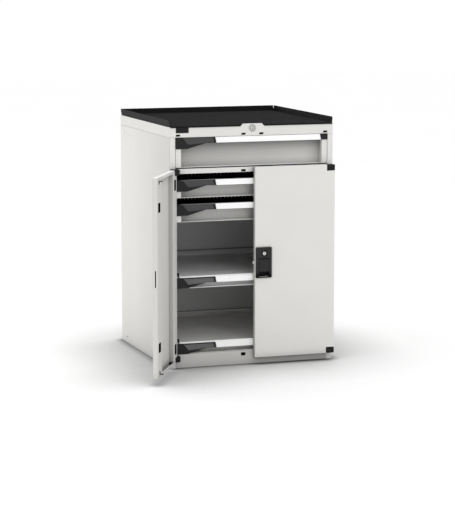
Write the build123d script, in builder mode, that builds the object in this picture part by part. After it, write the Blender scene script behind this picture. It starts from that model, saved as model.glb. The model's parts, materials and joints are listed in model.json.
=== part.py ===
from build123d import *
import os

# A floor-standing steel tool cabinet. One drawer shows under the top, and below it two doors
# shut off a cupboard with two inner drawers and two pull-out shelves. A rimmed black tray with
# a rubber mat lies on top. Sizes are in millimetres. The origin is on the floor, under the
# middle of the body. +X is right, +Y back and +Z up for someone who faces the front. The left
# door is modelled open and the right door shut.

# Driving sizes of the body
width = 717.0
depth = 725.0
height = 1000.0
sheet = 1.5
bend = 2.5
corner_bend = 8.0
post_width = 25.5
post_return = 30.0
base_height = 58.0
header_height = 42.0
header_seam = 0.8
rail_height = 21.3
rail_gap = 3.7
rail_depth = 28.0
module = 25.0
fit = 0.1

# Drawers and shelves, which share one front and one runner
outer_drawer_height = 125.0
inner_drawer_height = 75.0
shelf_front_height = 46.0
shelf_rise = 275.0
front_gap = 1.0
front_setback = 1.5
recess = 48.0
strip_width = 24.0
strip_return = 18.0
panel_drop = 8.0
usable_depth = 612.0
slide_space = 25.5
wall_drop = 12.0
floor_lift = 4.0
handle_height = 23.4
handle_depth = 21.0
handle_wall = 2.0
handle_top_gap = 1.6
handle_hook = 8.0
handle_foot = 7.0
label_thickness = 1.2
label_slant = 5.0
left_cap_length = 175.0
right_cap_length = 28.0
cap_proud = 2.0
cap_back = 1.2
cap_knee_drop = 47.5
cap_knee_in = 49.0
cap_rise_in = 132.0
facet_top_in = 27.0
facet_low_in = 52.0
facet_drop = 31.0
facet_slope = 1.8
facet_end = 9.0
deck_drop = 6.0
deck_lip = 12.0
wall_slot_pitch = 17.0
wall_slot_width = 3.0

# Telescopic slides
slide_length = 600.0
slide_lift = 21.0
slide_play = 0.3
slide_start = 50.0
slide_wall = 2.0
drawer_bar_half = 11.2
mid_half = 14.7
fixed_half = 17.0
drawer_bar_width = 16.5
mid_width = 14.5
fixed_width = 11.0

# Doors and their hinges
door_gap = 6.0
door_thickness = 20.5
door_over_rail = 0.2
door_low = 30.5
half_gap = 3.5
door_side_inset = 1.0
hinge_stile = 62.0
free_stile = 78.0
door_lip = 12.0
door_open = 120.0
pivot_inset = 6.5
pivot_depth = 21.6
pin_radius = 3.0
running_fit = 0.05
press_gap = 0.01
pin_reach = 7.0
pin_seat = 12.0
hinge_plate = 3.0
block_width = 35.0
block_height = 24.5
block_clear = 1.0
cutout = 39.0
cutout_inset = 18.0
cutout_from_middle = 280.0
stile_slot_width = 26.0
stile_slot_inset = 18.0
stile_slot_from_middle = 339.0
strike_height = 67.0
strike_width = 4.5

# Catches that enter the slots in the rail and the base
catch_x = 39.0
catch_width = 10.0
catch_thickness = 3.0
catch_reach = 8.0
catch_foot = 12.0
catch_slot_width = 16.5
rail_slot_height = 6.0
rail_slot_drop = 14.2
base_slot_height = 10.0
base_slot_z = 44.0

# Door lock
case_width = 70.0
case_height = 128.0
case_proud = 5.0
case_x = 41.0
case_rim = 6.0
case_corner = 4.0
case_back_gap = 3.0
pocket_depth = 11.7
pocket_width = 45.0
pocket_under_middle = 60.0
pocket_over_middle = 17.5
paddle_thickness = 4.0
paddle_side_gap = 1.5
paddle_under_middle = 38.0
paddle_axis_over_middle = 10.0
paddle_axis_depth = 4.5
paddle_above_axis = 4.0
paddle_lip = 3.0
trunnion_radius = 2.0
trunnion_length = 4.0
key_x = 43.5
key_over_middle = 38.0
key_radius = 7.5
key_seat_radius = 12.0
key_seat_depth = 1.5
crank_radius = 8.0
crank_pin_radius = 3.0
crank_width = 8.0
crank_thickness = 2.2
crank_swing_slack = 1.7
bolt_thickness = 3.0
bolt_height = 13.5
bolt_depth = 8.0
bolt_tip_gap = 0.4
bolt_tail = 51.5
bolt_stem_half = 8.0
bolt_stem_over_key = 8.0

# Drawer lock in the header
tab_rise = 8.0
tab_half_top = 42.0
tab_half_foot = 50.0
top_lock_drop = 11.0
ring_radius = 14.5
ring_thickness = 1.5
sleeve_radius = 9.0
sleeve_length = 20.0
core_radius = 7.0
core_proud = 0.8
shaft_radius = 4.0
bar_width = 20.0
bar_thickness = 3.0
bar_to_back = 39.5
bar_top_half = 4.5
hook_reach = 17.0
hook_lip = 6.0
hook_lift = 12.0
hook_width = 16.0
tab_lift = 30.0
tab_length = 13.5

# Tray, mat and badge
tray_lip = 27.0
tray_flare = 4.0
tray_inset = 4.0
tray_front_drop = 2.5
tray_notch_gap = 2.0
tray_notch_depth = 4.0
mat_thickness = 2.5
mat_inset = 3.0
badge_width = 54.5
badge_height = 21.0
badge_thickness = 1.0
badge_inset = 2.0
badge_lift = 18.0

# Small cut-outs in the header, and holes
mark_width = 16.0
mark_height = 6.5
mark_slant = 3.0
mark_lift = 8.0
mark_inset = 11.0
floor_hole_radius = 5.5
floor_hole_inset = 53.0
floor_flange = 60.0
screw_radius = 4.5
screw_head = 2.5

# Places that follow from the sizes
front = -depth / 2
back = depth / 2
side = width / 2
open_x = side - post_width
header_z = height - header_height
box_half = open_x - slide_space
strip_out = open_x - front_gap
strip_in = strip_out - strip_width
strip_y = front + front_setback
panel_y = front + recess
box_front = panel_y + sheet + fit
box_back = box_front + usable_depth + sheet
slide_front = front + slide_start
slide_back = slide_front + slide_length
outer_drawer_z = header_z - outer_drawer_height
rail_top = outer_drawer_z - rail_gap
rail_low = rail_top - rail_height
upper_inner_z = rail_low - module - inner_drawer_height
lower_inner_z = upper_inner_z - module - inner_drawer_height
upper_shelf_z = base_height + shelf_rise
label_left = strip_out - left_cap_length
label_right = strip_out - right_cap_length
door_top = rail_top + door_over_rail
door_height = door_top - door_low
door_middle = door_low + door_height / 2
door_in = front - door_gap
door_out = door_in - door_thickness
door_edge = side - door_side_inset
pivot_x = side - pivot_inset
pivot_y = front - pivot_depth
bolt_y = door_in - bolt_depth
case_face = door_out - case_proud
pocket_low = door_middle - pocket_under_middle
pocket_high = door_middle + pocket_over_middle
paddle_low = door_middle - paddle_under_middle
paddle_axis_z = door_middle + paddle_axis_over_middle
key_z = door_middle + key_over_middle
top_lock_z = height - top_lock_drop
panel_top = header_z - header_seam
bar_y = back - bar_to_back
floor_hole_x = open_x - floor_hole_inset

drawers = {
    "top_drawer": (outer_drawer_z, outer_drawer_height),
    "upper_inner_drawer": (upper_inner_z, inner_drawer_height),
    "lower_inner_drawer": (lower_inner_z, inner_drawer_height),
}
shelves = {
    "upper_shelf": upper_shelf_z,
    "lower_shelf": base_height,
}
levels = [low for low, tall in drawers.values()] + list(shelves.values())


# Helpers that draw in the part that is being made
def block(x, y, z, mode=Mode.ADD):
    """A rectangular block between the low and high value along each axis."""
    middle = ((x[0] + x[1]) / 2, (y[0] + y[1]) / 2, (z[0] + z[1]) / 2)
    with Locations(middle):
        Box(abs(x[1] - x[0]), abs(y[1] - y[0]), abs(z[1] - z[0]), mode=mode)


def block_row(middles, size, mode=Mode.SUBTRACT):
    """The same block at each of several places."""
    with Locations(*middles):
        Box(*size, mode=mode)


def bar_along_x(y, z, x, radius, mode=Mode.ADD):
    """A round bar or hole along X."""
    with Locations(Location(((x[0] + x[1]) / 2, y, z), (0, 90, 0))):
        Cylinder(radius, abs(x[1] - x[0]), mode=mode)


def bar_along_y(x, z, y, radius, mode=Mode.ADD):
    """A round bar or hole along Y."""
    with Locations(Location((x, (y[0] + y[1]) / 2, z), (90, 0, 0))):
        Cylinder(radius, abs(y[1] - y[0]), mode=mode)


def bar_along_z(x, y, z, radius, mode=Mode.ADD):
    """A round bar or hole along Z."""
    with Locations((x, y, (z[0] + z[1]) / 2)):
        Cylinder(radius, abs(z[1] - z[0]), mode=mode)


def facing_front(y):
    """A plane across the cabinet that faces forwards, with local axes X and Z."""
    return Plane.XZ.offset(-y)


def plate(plane, points, thickness, mode=Mode.ADD):
    """A flat plate with straight edges, thick along the plane's normal."""
    with BuildSketch(plane, mode=Mode.PRIVATE) as outline:
        with BuildLine():
            Polyline(*points, close=True)
        make_face()
    extrude(outline.sketch, amount=thickness, mode=mode)


def folded(plane, points, length, radius=bend, thickness=sheet):
    """Folded sheet: its section lies to the left of the line through the points."""
    with BuildSketch(plane, mode=Mode.PRIVATE) as section:
        with BuildLine():
            FilletPolyline(*points, radius=radius)
            offset(amount=thickness, side=Side.LEFT)
        make_face()
    extrude(section.sketch, amount=length)


def write(name, piece):
    """Names a finished piece and writes its STEP file."""
    piece.label = name
    export_step(piece, f"parts/{name}.step")


os.makedirs("parts", exist_ok=True)

# Side panels: each folds forward into a front post and back into a flange
wall_through = (side - 2 * sheet, side + sheet)
with BuildPart() as side_panel_right:
    folded(
        Plane.XY,
        [
            (open_x, front + post_return),
            (open_x, front),
            (side, front),
            (side, back),
            (open_x, back),
        ],
        panel_top,
        radius=[bend, corner_bend, bend],
    )
    bar_along_x(back - 83, 25, wall_through, 4, Mode.SUBTRACT)
    bar_along_x(front + 56, header_z - 23, wall_through, 2.5, Mode.SUBTRACT)
    block_row(
        [(side, back - 58, base_height + 17), (side, back - 58, header_z - 29)],
        (4 * sheet, 4, 14),
    )
write("side_panel_right", side_panel_right.part)

with BuildPart() as side_panel_left:
    mirror(side_panel_right.part, about=Plane.YZ)
write("side_panel_left", side_panel_left.part)

# Slotted uprights inside the side panels, which carry the slides
upright_depth = 30.0
upright_out = side - sheet - fit
slot_count = int((header_z - base_height) // module)
slot_z = [base_height + module / 2 + module * n for n in range(slot_count)]
with BuildPart() as slotted_uprights:
    for upright_y in (front + post_return + 2, slide_back - 2 * upright_depth):
        middle_y = upright_y + upright_depth / 2
        block(
            (open_x, upright_out),
            (upright_y, upright_y + upright_depth),
            (base_height + fit, header_z - fit),
        )
        block(
            (open_x + sheet, upright_out + 1),
            (upright_y + sheet, upright_y + upright_depth - sheet),
            (0, height),
            Mode.SUBTRACT,
        )
        block_row([(open_x, middle_y, z) for z in slot_z], (4 * sheet, 8, 10))
    mirror(about=Plane.YZ)
write("slotted_uprights", slotted_uprights.part)

# Back panel, with two straps that bear on the lock bar from behind
back_in = back - sheet - fit
strap_y = bar_y + bar_thickness + slide_play
strap_half = bar_width
strap_foot = 14.0
strap_height = 18.0
strap_drop = 60.0
with BuildPart() as back_panel:
    block((-side + 6, side - 6), (back_in - sheet, back_in), (fit, header_z - fit))
    for strap_z in (lower_inner_z - strap_drop, upper_shelf_z - 2 * strap_drop):
        folded(
            Plane.XY.offset(strap_z),
            [
                (-strap_half - strap_foot, back_in - sheet),
                (-strap_half, back_in - sheet),
                (-strap_half, strap_y),
                (strap_half, strap_y),
                (strap_half, back_in - sheet),
                (strap_half + strap_foot, back_in - sheet),
            ],
            strap_height,
            radius=[0.4, 1.6, 1.6, 0.4],
        )
write("back_panel", back_panel.part)

# Inner back panel, which shuts off the lock bar and lets its hooks through slots
inner_half = open_x - fit
inner_y = bar_y - slide_play - sheet
hook_slot_low = hook_lift - 1
hook_slot_high = hook_lift + crank_radius + 3
with BuildPart() as inner_back_panel:
    folded(
        Plane.XY.offset(base_height + fit),
        [
            (-inner_half, back_in - sheet - fit),
            (-inner_half, inner_y),
            (inner_half, inner_y),
            (inner_half, back_in - sheet - fit),
        ],
        header_z - base_height - 2 * fit,
    )
    for level in levels:
        block(
            (-hook_width / 2 - 1, hook_width / 2 + 1),
            (inner_y - 1, inner_y + 2 * sheet),
            (level + hook_slot_low, level + hook_slot_high),
            Mode.SUBTRACT,
        )
write("inner_back_panel", inner_back_panel.part)

# Pan-head screws that hold the back panel to the flanges of the side panels
with BuildPart() as back_screws:
    screw_z = [60 + n * (header_z - 120) / 3 for n in range(4)]
    for z in screw_z:
        bar_along_y(open_x + 10, z, (back, back + screw_head), screw_radius)
    fillet(back_screws.faces().filter_by(Axis.Y).group_by(Axis.Y)[-1].edges(), 1.2)
    mirror(about=Plane.YZ)
write("back_screws", back_screws.part)

# Base: one folded pan, whose front is the plinth and whose top is the cupboard floor
base_half = open_x - fit
base_back = back_in - sheet - fit
with BuildPart() as base:
    folded(
        Plane.YZ.offset(-base_half),
        [
            (base_back - floor_flange, 0),
            (base_back, 0),
            (base_back, base_height),
            (front, base_height),
            (front, 0),
            (front + floor_flange, 0),
        ],
        2 * base_half,
    )
    for low_x in (-base_half, base_half - sheet):
        block(
            (low_x, low_x + sheet),
            (front + bend, base_back - bend),
            (sheet, base_height - sheet),
        )
    for x in (-catch_x, catch_x):
        block(
            (x - catch_slot_width / 2, x + catch_slot_width / 2),
            (front - 1, front + 2 * sheet),
            (base_slot_z - base_slot_height / 2, base_slot_z + base_slot_height / 2),
            Mode.SUBTRACT,
        )
    for x in (-floor_hole_x, floor_hole_x):
        for y in (front + floor_flange / 2, back - floor_flange / 2):
            bar_along_z(x, y, (-1, 2 * sheet), floor_hole_radius, Mode.SUBTRACT)
write("base", base.part)

# Top cover: the header band all round, the deck, and the raised tab round the lock
with BuildPart() as top_cover:
    with BuildSketch(Plane.XY.offset(header_z)) as outline:
        Rectangle(width, depth)
        fillet(outline.vertices().group_by(Axis.Y)[0], corner_bend)
        fillet(outline.vertices().group_by(Axis.Y)[-1], bend)
    extrude(amount=header_height)
    fillet(top_cover.edges().group_by(Axis.Z)[-1], 1)
    offset(amount=-sheet, openings=top_cover.faces().sort_by(Axis.Z)[0])
    plate(
        facing_front(front + sheet),
        [
            (-tab_half_foot, height - 3),
            (tab_half_foot, height - 3),
            (tab_half_top, height + tab_rise),
            (-tab_half_top, height + tab_rise),
        ],
        sheet,
    )
    for x in [hand * place for hand in (-1, 1) for place in (catch_x, open_x - mark_inset)]:
        left = x - (mark_width + mark_slant) / 2
        low = header_z + mark_lift - mark_height / 2
        plate(
            facing_front(front + 2 * sheet),
            [
                (left, low),
                (left + mark_width, low),
                (left + mark_width + mark_slant, low + mark_height),
                (left + mark_slant, low + mark_height),
            ],
            3 * sheet,
            Mode.SUBTRACT,
        )
    bar_along_y(
        0,
        top_lock_z,
        (front - 1, front + 2 * sheet),
        sleeve_radius + fit,
        Mode.SUBTRACT,
    )
write("top_cover", top_cover.part)

# Cross rail between the posts, with the slots that the door catches enter
rail_slot_z = rail_top - rail_slot_drop
with BuildPart() as cross_rail:
    folded(
        Plane.YZ.offset(-base_half),
        [
            (front + rail_depth, rail_top),
            (front, rail_top),
            (front, rail_low),
            (front + rail_depth, rail_low),
        ],
        2 * base_half,
    )
    for x in (-catch_x, catch_x):
        block(
            (x - catch_slot_width / 2, x + catch_slot_width / 2),
            (front - 1, front + 2 * sheet),
            (rail_slot_z - rail_slot_height / 2, rail_slot_z + rail_slot_height / 2),
            Mode.SUBTRACT,
        )
write("cross_rail", cross_rail.part)

# Tray: a floor with flared lips at the left, right and back, a short fold over the header at
# the front, and a notch round the lock tab
tray_half = side - tray_inset
tray_front = front - 0.5
tray_back = back - tray_inset
lip_z = height + tray_lip
with BuildPart() as top_tray:
    block((-tray_half, tray_half), (tray_front, tray_back), (height, height + sheet))
    block(
        (-tray_half, tray_half),
        (tray_front - sheet, tray_front),
        (height - tray_front_drop, height + sheet),
    )
    for hand in (-1, 1):
        plate(
            Plane.XZ.offset(-tray_back),
            [
                (hand * (tray_half - sheet), height),
                (hand * tray_half, height),
                (hand * (tray_half + tray_flare), lip_z),
                (hand * (tray_half + tray_flare - sheet), lip_z),
            ],
            tray_back - tray_front,
        )
    plate(
        Plane.YZ.offset(-tray_half),
        [
            (tray_back - sheet, height),
            (tray_back, height),
            (tray_back + tray_flare, lip_z),
            (tray_back + tray_flare - sheet, lip_z),
        ],
        2 * tray_half,
    )
    with BuildSketch(Plane.YZ.offset(-side - 10), mode=Mode.PRIVATE) as corner:
        with BuildLine():
            Line((tray_front - 1, height + sheet), (tray_front + 4, height + sheet))
            Line((tray_front + 4, height + sheet), (tray_front + 6, lip_z - 9))
            RadiusArc((tray_front + 6, lip_z - 9), (tray_front + 15, lip_z + 1), 12)
            Polyline(
                (tray_front + 15, lip_z + 1),
                (tray_front - 1, lip_z + 1),
                (tray_front - 1, height + sheet),
            )
        make_face()
    extrude(corner.sketch, amount=width + 20, mode=Mode.SUBTRACT)
    block(
        (-tab_half_foot - tray_notch_gap, tab_half_foot + tray_notch_gap),
        (tray_front - sheet - 1, front + tray_notch_depth),
        (height - tray_front_drop - 1, lip_z),
        Mode.SUBTRACT,
    )
write("top_tray", top_tray.part)

mat_low = height + sheet
with BuildPart() as rubber_mat:
    block(
        (-tray_half + mat_inset, tray_half - mat_inset),
        (front + 1, tray_back - mat_inset),
        (mat_low, mat_low + mat_thickness),
    )
    block(
        (-tab_half_foot - 2 * tray_notch_gap, tab_half_foot + 2 * tray_notch_gap),
        (front, front + tray_notch_depth + tray_notch_gap),
        (height, lip_z),
        Mode.SUBTRACT,
    )
    fillet(rubber_mat.edges().filter_by(Axis.Z), 1)
write("rubber_mat", rubber_mat.part)

with BuildPart() as badge_plate:
    block(
        (-open_x + badge_inset, -open_x + badge_inset + badge_width),
        (front - badge_thickness, front),
        (header_z + badge_lift, header_z + badge_lift + badge_height),
    )
    fillet(badge_plate.edges().filter_by(Axis.Y), 1.5)
write("badge_plate", badge_plate.part)

# Fixed slide channels, two at each level
with BuildPart() as fixed_slides:
    for level in levels:
        middle = level + slide_lift
        block(
            (open_x - fixed_width, open_x),
            (slide_front, slide_back),
            (middle - fixed_half, middle + fixed_half),
        )
        block(
            (open_x - fixed_width - 1, open_x - sheet),
            (slide_front - 1, slide_back + 1),
            (middle - mid_half - slide_play, middle + mid_half + slide_play),
            Mode.SUBTRACT,
        )
    mirror(about=Plane.YZ)
write("fixed_slides", fixed_slides.part)


# Pieces that each drawer and shelf has, made for a module whose low edge is at a given height
bar_in = box_half
bar_out = box_half + drawer_bar_width
mid_out = bar_out + slide_wall + slide_wall
mid_in = mid_out - mid_width


def runners(low):
    """The two bars that are fixed to the sides of a drawer."""
    middle = low + slide_lift
    with BuildPart() as bars:
        block(
            (bar_in, bar_out),
            (slide_front + 2, slide_back),
            (middle - drawer_bar_half, middle + drawer_bar_half),
        )
        mirror(about=Plane.YZ)
    return bars.part


def mid_slides(low):
    """The two middle members, which run between the fixed channels and the drawer's bars."""
    middle = low + slide_lift
    with BuildPart() as members:
        block(
            (mid_in, mid_out),
            (slide_front + 2, slide_back),
            (middle - mid_half, middle + mid_half),
        )
        block(
            (mid_in - 1, mid_out - slide_wall),
            (slide_front + 1, slide_back + 1),
            (
                middle - drawer_bar_half - slide_play,
                middle + drawer_bar_half + slide_play,
            ),
            Mode.SUBTRACT,
        )
        mirror(about=Plane.YZ)
    return members.part


def front_sheet(low, high):
    """The folded front: two side strips, the recessed panel and a ledge under it."""
    ledge = low + front_gap
    with BuildPart() as front_part:
        folded(
            Plane.XY.offset(ledge),
            [
                (-strip_out, strip_y + strip_return),
                (-strip_out, strip_y),
                (-strip_in, strip_y),
                (-strip_in, panel_y),
                (strip_in, panel_y),
                (strip_in, strip_y),
                (strip_out, strip_y),
                (strip_out, strip_y + strip_return),
            ],
            high - ledge,
        )
        block(
            (-strip_in - sheet / 2, strip_in + sheet / 2),
            (strip_y, panel_y + sheet / 2),
            (ledge, ledge + sheet),
        )
    return front_part.part


def handle_bar(top):
    """The hooked handle profile across the top of a front."""
    high = top - handle_top_gap
    with BuildPart() as handle:
        folded(
            Plane.YZ.offset(-strip_in + fit),
            [
                (strip_y + handle_depth, high - handle_hook),
                (strip_y + handle_depth, high),
                (strip_y, high),
                (strip_y, high - handle_height),
                (strip_y + handle_foot, high - handle_height),
            ],
            2 * (strip_in - fit),
            thickness=handle_wall,
        )
    return handle.part


def label_strip(top):
    """The white strip that slides into the handle between its caps."""
    high = top - handle_top_gap
    low = high - handle_height
    with BuildPart() as label:
        plate(
            facing_front(strip_y),
            [
                (-label_left, low),
                (label_right, low),
                (label_right - label_slant, high),
                (-label_left - label_slant, high),
            ],
            label_thickness,
        )
    return label.part


def facet_wedge(top):
    """The wedge cut off a left cap's face, from nothing at the low point to deepest on top."""
    high = top + 1
    low = top - facet_drop
    face = front - cap_proud
    with BuildPart() as wedge:
        plate(
            facing_front(strip_y),
            [
                (-strip_out + facet_top_in, high),
                (-strip_out + facet_low_in, low),
                (-label_left - facet_end, top - handle_height),
                (-label_left - facet_end - label_slant, high),
            ],
            2 * cap_proud + front_setback,
        )
        plate(
            Plane.YZ.offset(-strip_out),
            [
                (face, low),
                (face + facet_slope, high),
                (strip_y + 1, high),
                (strip_y + 1, low),
            ],
            2 * strip_out,
            Mode.SUBTRACT,
        )
    return wedge.part


def end_caps(low_edge, top, drop):
    """The faceted left cap and the small right cap of a handle."""
    knee = max(top - cap_knee_drop, low_edge + front_gap)
    high = top - handle_top_gap
    low = high - handle_height
    seat = strip_y - front_setback + cap_back
    face = front - cap_proud
    thick = seat - face
    left_top = (-label_left - label_slant - fit, high)
    left_low = (-label_left - fit, low)
    facet = facet_wedge(top)
    with BuildPart() as caps:
        plate(
            facing_front(seat),
            [
                (-strip_out, high),
                (-strip_out, knee),
                (-strip_out + cap_knee_in, knee),
                (-strip_out + cap_rise_in, low),
                left_low,
                left_top,
            ],
            thick,
        )
        add(facet, mode=Mode.SUBTRACT)
        block(
            (-strip_out, -strip_in - sheet - fit),
            (seat - 1, strip_y + handle_depth),
            (top - drop + fit, high),
        )
        plate(
            facing_front(seat),
            [
                (label_right + fit, low),
                (strip_out, low),
                (strip_out, high),
                (label_right - label_slant + fit, high),
            ],
            thick,
        )
        block(
            (strip_in + sheet + fit, strip_out),
            (seat - 1, strip_y + handle_depth),
            (top - drop + fit, high),
        )
    return caps.part


def rear_tab(low):
    """The bracket riveted to the back of a drawer, whose lip the lock bar catches."""
    tab_z = low + tab_lift
    half = hook_width / 2
    foot = box_back + fit
    block((-half, half), (foot, box_back + tab_length), (tab_z, tab_z + 2))
    block((-half, half), (foot, foot + 2), (tab_z - hook_lip, tab_z))
    block(
        (-half, half),
        (box_back + tab_length - 2, box_back + tab_length),
        (tab_z - hook_lip, tab_z),
    )


def drawer_box(low, top):
    """A drawer's floor and three slotted walls, open at the front panel."""
    floor = low + floor_lift
    rim = top - wall_drop
    slot_low = floor + 10
    slot_high = rim - 6
    slot_z = (slot_low + slot_high) / 2
    slot_size = slot_high - slot_low
    side_count = int((usable_depth - 30) // wall_slot_pitch)
    rear_count = int((2 * box_half - 40) // wall_slot_pitch)
    middle_y = (box_front + box_back) / 2
    with BuildPart() as box:
        block((-box_half, box_half), (box_front, box_back), (floor, rim))
        block(
            (-box_half + sheet, box_half - sheet),
            (box_front - 1, box_back - sheet),
            (floor + sheet, rim + 1),
            Mode.SUBTRACT,
        )
        row = [(n - (side_count - 1) / 2) * wall_slot_pitch for n in range(side_count)]
        block_row(
            [(0, middle_y + y, slot_z) for y in row],
            (2 * box_half + 2, wall_slot_width, slot_size),
        )
        row = [(n - (rear_count - 1) / 2) * wall_slot_pitch for n in range(rear_count)]
        block_row(
            [(x, box_back, slot_z) for x in row],
            (wall_slot_width, 4 * sheet, slot_size),
        )
        rear_tab(low)
    return box.part


def shelf_pan(low, top):
    """A pull-out shelf: front, deck with lips, and flanges down the sides and the back."""
    deck = top - deck_drop
    flange_low = low + 8
    with BuildPart() as pan:
        add(front_sheet(low, deck))
        block(
            (-box_half, box_half),
            (strip_y + handle_depth + 1, box_back),
            (deck - sheet, deck),
        )
        for x in (-box_half, box_half - sheet):
            block((x, x + sheet), (panel_y, box_back), (flange_low, deck + deck_lip))
        block(
            (-box_half, box_half),
            (box_back - sheet, box_back),
            (flange_low, deck + deck_lip),
        )
        rear_tab(low)
    return pan.part


for name, (low, tall) in drawers.items():
    top = low + tall
    write(f"{name}_box", drawer_box(low, top))
    write(f"{name}_front", front_sheet(low, top - panel_drop))
    write(f"{name}_handle", handle_bar(top))
    write(f"{name}_label", label_strip(top))
    write(f"{name}_caps", end_caps(low, top, panel_drop))
    write(f"{name}_runners", runners(low))
    write(f"{name}_mid_slides", mid_slides(low))

for name, low in shelves.items():
    top = low + shelf_front_height
    write(f"{name}_pan", shelf_pan(low, top))
    write(f"{name}_handle", handle_bar(top))
    write(f"{name}_label", label_strip(top))
    write(f"{name}_caps", end_caps(low, top, deck_drop))
    write(f"{name}_runners", runners(low))
    write(f"{name}_mid_slides", mid_slides(low))

# Hinge blocks on the posts at the corners of the doors, and their pins
block_in = door_edge - block_width
notch_x = block_in - block_clear
with BuildPart() as hinge_blocks:
    for low, high in ((door_low, door_low + block_height), (door_top - block_height, door_top)):
        block((block_in, door_edge), (door_out, front), (low, high))
    fillet(hinge_blocks.edges().filter_by(Axis.Y), 3)
    fillet(hinge_blocks.faces().sort_by(Axis.Y)[0].edges(), 1)
    bar_along_z(
        pivot_x,
        pivot_y,
        (door_low + block_height - pin_seat, door_low + block_height + 1),
        pin_radius + press_gap,
        Mode.SUBTRACT,
    )
    bar_along_z(
        pivot_x,
        pivot_y,
        (door_top - block_height - 1, door_top - block_height + pin_seat),
        pin_radius + press_gap,
        Mode.SUBTRACT,
    )
    mirror(about=Plane.YZ)
write("hinge_blocks", hinge_blocks.part)

with BuildPart() as hinge_pins:
    foot = door_low + block_height
    bar_along_z(pivot_x, pivot_y, (foot - pin_seat, foot + pin_reach), pin_radius)
    head = door_top - block_height
    bar_along_z(pivot_x, pivot_y, (head - pin_reach, head + pin_seat), pin_radius)
    mirror(about=Plane.YZ)
write("hinge_pins", hinge_pins.part)


# Doors: both are made shut, on the right-hand side, and the left one is then turned open
def door_shell():
    """A door pan with a hollow stile at each upright edge and notches for the hinge blocks."""
    stile_in = door_edge - hinge_stile
    free_in = half_gap + free_stile
    low_notch = door_low + block_height + block_clear
    high_notch = door_top - block_height - block_clear
    wall_end = door_out + 3 * sheet
    with BuildPart() as shell:
        folded(
            Plane.XY.offset(door_low),
            [
                (free_in, wall_end),
                (free_in, door_in),
                (half_gap, door_in),
                (half_gap, door_out),
                (door_edge, door_out),
                (door_edge, door_in),
                (stile_in, door_in),
                (stile_in, wall_end),
            ],
            door_height,
        )
        for low_x in (free_in - sheet, stile_in):
            block(
                (low_x, low_x + sheet),
                (door_out + sheet / 2, wall_end),
                (door_low, door_top),
            )
        for low in (door_low, door_top - sheet):
            block(
                (half_gap + bend, door_edge - bend),
                (door_out + sheet / 2, door_in - sheet / 2),
                (low, low + sheet),
            )
        for low, high in ((door_low, door_low + door_lip), (door_top - door_lip, door_top)):
            block((free_in, stile_in), (door_in - sheet, door_in), (low, high))
        for low, high in ((door_low - 1, low_notch), (high_notch, door_top + 1)):
            block((notch_x, side + 1), (door_out - 1, door_in + 1), (low, high), Mode.SUBTRACT)
        for low, high in (
            (low_notch, low_notch + hinge_plate),
            (high_notch - hinge_plate, high_notch),
        ):
            block(
                (notch_x - sheet, door_edge - sheet / 2),
                (door_out + sheet / 2, door_in - sheet / 2),
                (low, high),
            )
        for low, high in ((door_low, low_notch), (high_notch, door_top)):
            block(
                (notch_x - sheet, notch_x),
                (door_out + sheet / 2, door_in - sheet / 2),
                (low, high),
            )
        bar_along_z(
            pivot_x,
            pivot_y,
            (low_notch - 1, low_notch + hinge_plate + 1),
            pin_radius + running_fit,
            Mode.SUBTRACT,
        )
        bar_along_z(
            pivot_x,
            pivot_y,
            (high_notch - hinge_plate - 1, high_notch + 1),
            pin_radius + running_fit,
            Mode.SUBTRACT,
        )
        stile_slot_x = door_edge - stile_slot_inset - stile_slot_width / 2
        cutout_x = half_gap + cutout_inset + cutout / 2
        block_row(
            [
                (stile_slot_x, door_in, door_middle + offset_z)
                for offset_z in (-stile_slot_from_middle, stile_slot_from_middle)
            ],
            (stile_slot_width, 4 * sheet, cutout),
        )
        block_row(
            [
                (cutout_x, door_in, door_middle + offset_z)
                for offset_z in (-cutout_from_middle, cutout_from_middle)
            ],
            (cutout, 4 * sheet, cutout),
        )
    return shell.part


def door_catches():
    """The two bent tongues near the free edge, which enter the slots in the rail and base."""
    half = catch_width / 2
    with BuildPart() as catches:
        for tongue_z, foot_low, foot_high in (
            (rail_slot_z, rail_slot_z - catch_foot, rail_slot_z),
            (base_slot_z, base_slot_z, base_slot_z + catch_foot),
        ):
            block(
                (catch_x - half, catch_x + half),
                (door_in, front + catch_reach),
                (tongue_z - catch_thickness / 2, tongue_z + catch_thickness / 2),
            )
            block(
                (catch_x - half, catch_x + half),
                (door_in, door_in + sheet),
                (foot_low, foot_high),
            )
    return catches.part


hinge_axis = Axis((-pivot_x, pivot_y, 0), (0, 0, 1))

with BuildPart() as left_door_panel:
    mirror(door_shell(), about=Plane.YZ)
    block(
        (-half_gap - 2 * sheet, 0),
        (bolt_y - strike_width / 2, bolt_y + strike_width / 2),
        (door_middle - strike_height / 2, door_middle + strike_height / 2),
        Mode.SUBTRACT,
    )
write("left_door_panel", left_door_panel.part.rotate(hinge_axis, -door_open))

with BuildPart() as left_door_catches:
    mirror(door_catches(), about=Plane.YZ)
write("left_door_catches", left_door_catches.part.rotate(hinge_axis, -door_open))

case_low = door_middle - case_height / 2
case_high = door_middle + case_height / 2
case_left = case_x - case_width / 2
case_right = case_x + case_width / 2
body_left = case_left + case_rim
body_right = case_right - case_rim
with BuildPart() as right_door_panel:
    add(door_shell())
    block(
        (body_left - fit, body_right + fit),
        (door_out - 1, door_out + 2 * sheet),
        (case_low + case_rim - fit, case_high - case_rim + fit),
        Mode.SUBTRACT,
    )
    block(
        (0, half_gap + 2 * sheet),
        (bolt_y - strike_width / 2, bolt_y + strike_width / 2),
        (door_middle - bolt_height / 2 - 1, door_middle + bolt_height / 2 + 1),
        Mode.SUBTRACT,
    )
write("right_door_panel", right_door_panel.part)

with BuildPart() as right_door_catches:
    add(door_catches())
write("right_door_catches", right_door_catches.part)

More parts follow.
